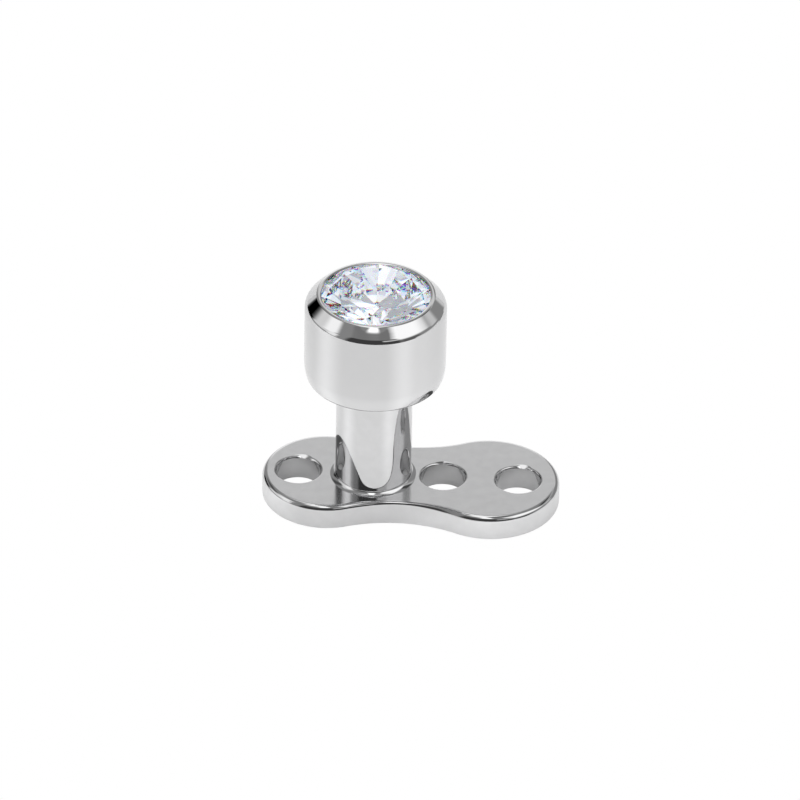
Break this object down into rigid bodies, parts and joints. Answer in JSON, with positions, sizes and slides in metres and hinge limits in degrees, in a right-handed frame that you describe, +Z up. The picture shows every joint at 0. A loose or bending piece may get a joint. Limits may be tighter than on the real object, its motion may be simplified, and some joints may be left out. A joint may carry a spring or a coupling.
{
  "type": "dermal anchor",
  "caption": "Dermal anchor: a pierced figure-eight foot plate with an upright post that carries a bevelled round top, bezel set with a clear brilliant-cut stone.",
  "frame": {"origin": "on the post's axis, at the flat underside of the foot plate", "axes": "+Z up along the post to the stone, +X along the plate to its longer toe end with two holes, +Y across the plate"},
  "size_m": [0.0064, 0.003, 0.0053],
  "materials": {
    "base_metal": "mirror-polished titanium with faint polishing marks",
    "top_metal": "mirror-polished titanium, turned and polished",
    "clear_stone": "clear, colourless cubic zirconia with polished facets"
  },
  "bodies": {
    "root": {"anchor_base": "base_metal", "bezel_cup": "top_metal", "stone": "clear_stone"}
  },
  "joints": []
}
